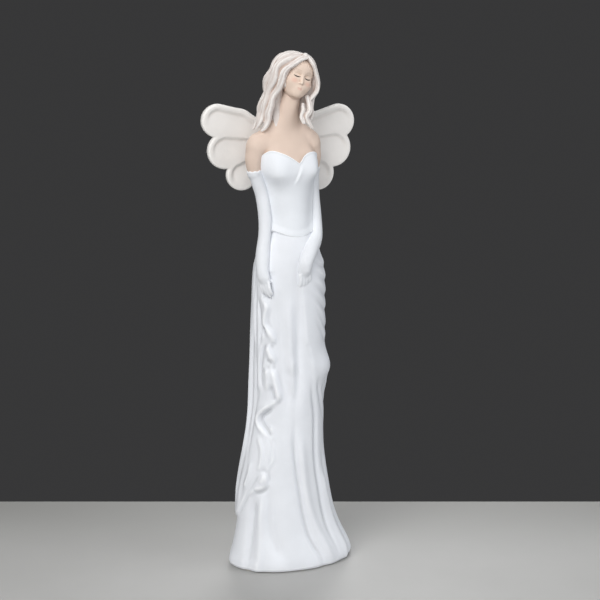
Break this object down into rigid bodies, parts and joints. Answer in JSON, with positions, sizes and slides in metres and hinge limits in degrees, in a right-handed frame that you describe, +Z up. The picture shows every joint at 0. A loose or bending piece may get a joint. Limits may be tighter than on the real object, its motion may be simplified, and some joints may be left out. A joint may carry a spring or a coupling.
{
  "type": "angel figurine",
  "caption": "Slender standing angel ornament in pale matt resin, with a fitted bodice, long gathered skirt, gloved hands at the lap and lobed wings.",
  "frame": {"origin": "centre of the object's box, on the surface it stands on", "axes": "+Z up; the figure faces -Y; +X is on the figure's left"},
  "size_m": [0.1094, 0.0598, 0.3502],
  "materials": {
    "resin_gown": "matt painted cast resin, cool white, slightly greyed in the folds",
    "resin_bodice": "matt painted cast resin, cool white",
    "resin_glove": "matt painted cast resin, cool white",
    "resin_skin": "matt painted cast resin, pale peach",
    "resin_face": "matt painted cast resin, pale peach with a soft blush and painted lashes",
    "resin_hair": "matt painted cast resin, off-white with a rosy wash in the grooves",
    "resin_wing": "matt painted cast resin, warm off-white",
    "felt": "pale felt sheet"
  },
  "bodies": {
    "root": {"skirt": "resin_gown", "bodice": "resin_bodice", "bust": "resin_skin", "head": "resin_face", "hair": "resin_hair", "arm_right": "resin_glove", "arm_left": "resin_glove", "wing_right": "resin_wing", "wing_left": "resin_wing", "felt_pad": "felt"}
  },
  "joints": []
}
